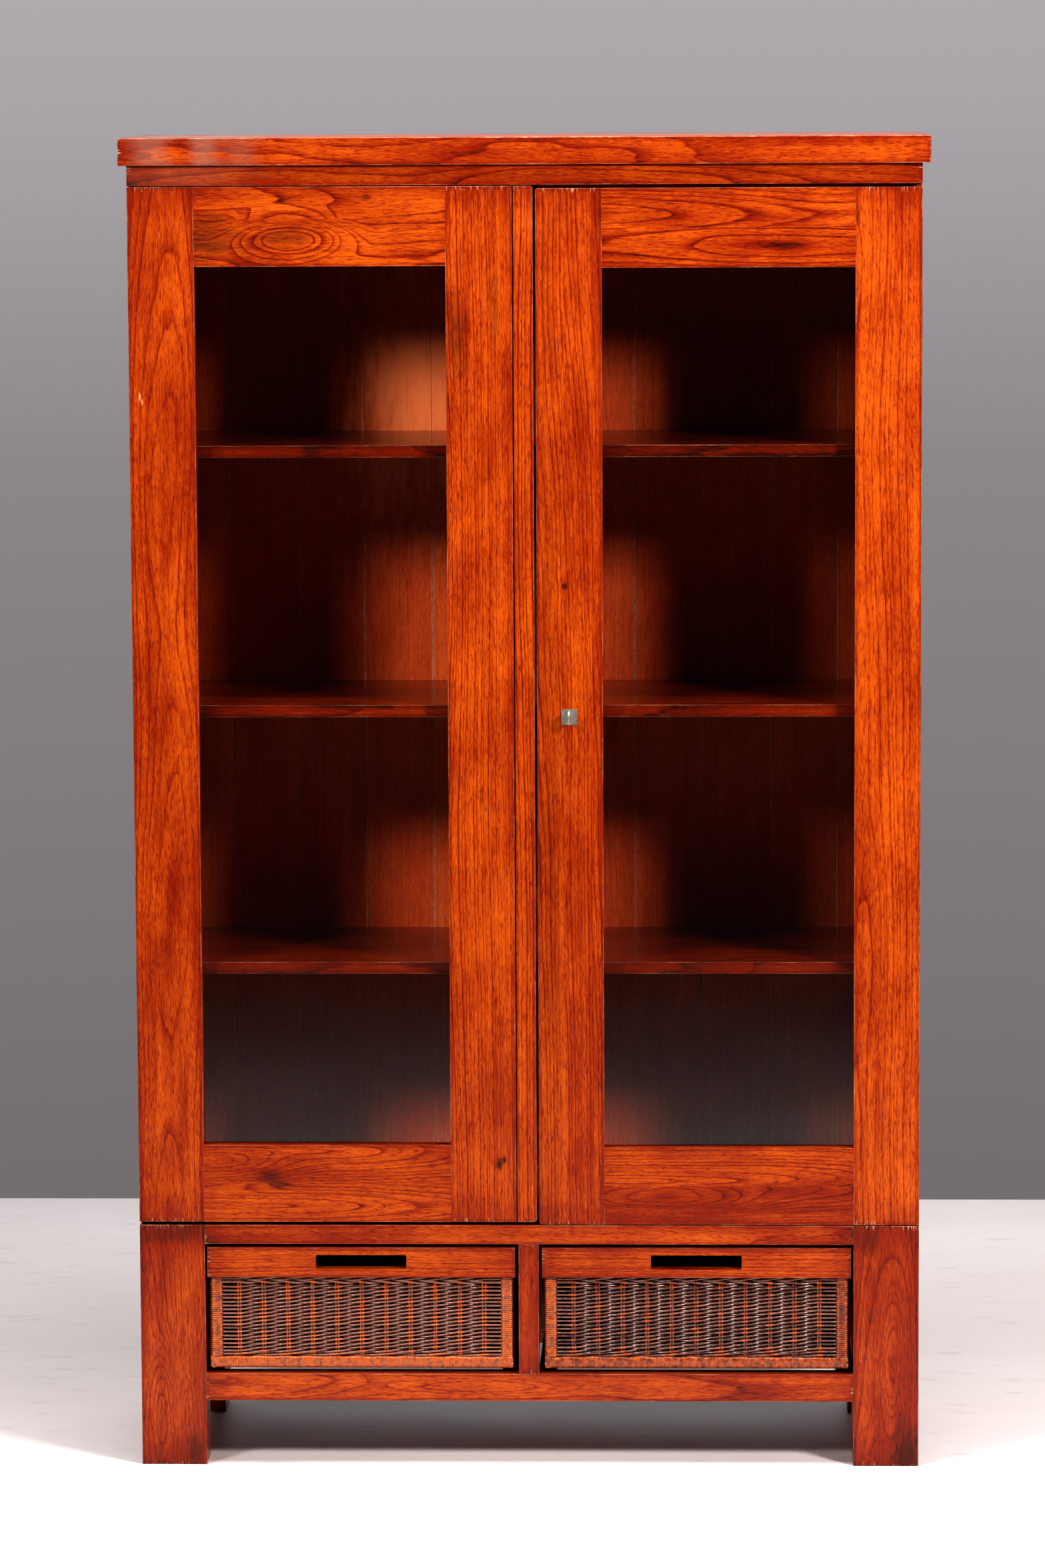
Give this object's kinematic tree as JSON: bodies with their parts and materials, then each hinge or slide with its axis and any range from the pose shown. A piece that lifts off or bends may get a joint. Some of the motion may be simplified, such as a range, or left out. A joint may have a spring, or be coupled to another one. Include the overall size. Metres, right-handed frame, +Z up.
{
  "type": "china cabinet",
  "caption": "Tall wooden china cabinet: framed glass doors over a shelved case, on a legged base with woven basket drawers.",
  "frame": {"origin": "on the floor, at the middle of the whole outline's width and depth", "axes": "+Z up, doors face -Y, +X to the right as seen from the front"},
  "size_m": [1.1228, 0.418, 1.872],
  "materials": {
    "stained_wood": "glossy red-orange mahogany stain",
    "interior_wood": "satin dark red-brown stain",
    "clear_glass": "clear flat window glass",
    "rattan": "woven rattan with a dark glossy lacquer",
    "nickel": "nickel plate, slightly worn",
    "brass": "plain brass, slightly dulled",
    "steel": "plain zinc-plated steel"
  },
  "bodies": {
    "case": {"top_slab": "stained_wood", "frieze_rail": "stained_wood", "case_top": "interior_wood", "case_bottom": "interior_wood", "left_side_frame": "stained_wood", "right_side_frame": "stained_wood", "left_side_panel": "stained_wood", "right_side_panel": "stained_wood", "lower_shelf": "interior_wood", "middle_shelf": "interior_wood", "upper_shelf": "interior_wood", "shelf_pins": "brass", "back_boards": "interior_wood", "back_rails": "stained_wood", "left_front_leg": "stained_wood", "left_back_leg": "stained_wood", "right_front_leg": "stained_wood", "right_back_leg": "stained_wood", "base_top_rail": "stained_wood", "base_bottom_rail": "stained_wood", "base_divider": "stained_wood", "left_base_side": "stained_wood", "right_base_side": "stained_wood", "base_back": "stained_wood", "drawer_runners": "interior_wood", "case_hinge_leaves": "brass", "case_hinge_screws": "steel", "hinge_pins": "brass", "bolt_keeper": "brass"},
    "left_door": {"left_hinge_stile": "stained_wood", "left_meeting_stile": "stained_wood", "left_top_rail": "stained_wood", "left_bottom_rail": "stained_wood", "left_glass": "clear_glass", "left_glazing_beads": "stained_wood", "meeting_strip": "stained_wood", "left_door_hinge_leaves": "brass", "left_door_hinge_screws": "steel", "bolt_guide": "brass"},
    "right_door": {"right_hinge_stile": "stained_wood", "right_meeting_stile": "stained_wood", "right_top_rail": "stained_wood", "right_bottom_rail": "stained_wood", "right_glass": "clear_glass", "right_glazing_beads": "stained_wood", "right_door_hinge_leaves": "brass", "right_door_hinge_screws": "steel", "escutcheon": "nickel", "lock_case": "steel"},
    "left_drawer": {"left_drawer_rail": "stained_wood", "left_drawer_rim": "interior_wood", "left_basket": "rattan"},
    "right_drawer": {"right_drawer_rail": "stained_wood", "right_drawer_rim": "interior_wood", "right_basket": "rattan"},
    "key": {"key": "nickel"},
    "lock_bolt": {"lock_bolt": "steel"},
    "slide_bolt": {"bolt_rod": "brass"}
  },
  "joints": [
    {"name": "left_door_hinge", "type": "hinge", "parent": "case", "child": "left_door", "pos_m": [-0.5488, -0.16025, 1], "axis": [0, 0, -1], "range_deg": [0, 110]},
    {"name": "right_door_hinge", "type": "hinge", "parent": "case", "child": "right_door", "pos_m": [0.5488, -0.16025, 1], "axis": [0, 0, 1], "range_deg": [0, 110]},
    {"name": "left_drawer_slide", "type": "slide", "parent": "case", "child": "left_drawer", "axis": [0, -1, 0], "range_m": [0, 0.26]},
    {"name": "right_drawer_slide", "type": "slide", "parent": "case", "child": "right_drawer", "axis": [0, -1, 0], "range_m": [0, 0.26]},
    {"name": "key_turn", "type": "hinge", "parent": "right_door", "child": "key", "pos_m": [0.0599, -0.183, 1.067], "axis": [0, 1, 0], "range_deg": [0, 90]},
    {"name": "lock_bolt_slide", "type": "slide", "parent": "right_door", "child": "lock_bolt", "axis": [-1, 0, 0], "range_m": [0, 0.01]},
    {"name": "slide_bolt_rise", "type": "slide", "parent": "left_door", "child": "slide_bolt", "axis": [0, 0, 1], "range_m": [0, 0.024]}
  ],
  "couplings": [
    {"joint": "lock_bolt_slide", "follows": "key_turn", "m_per_rad": 0.006366}
  ]
}
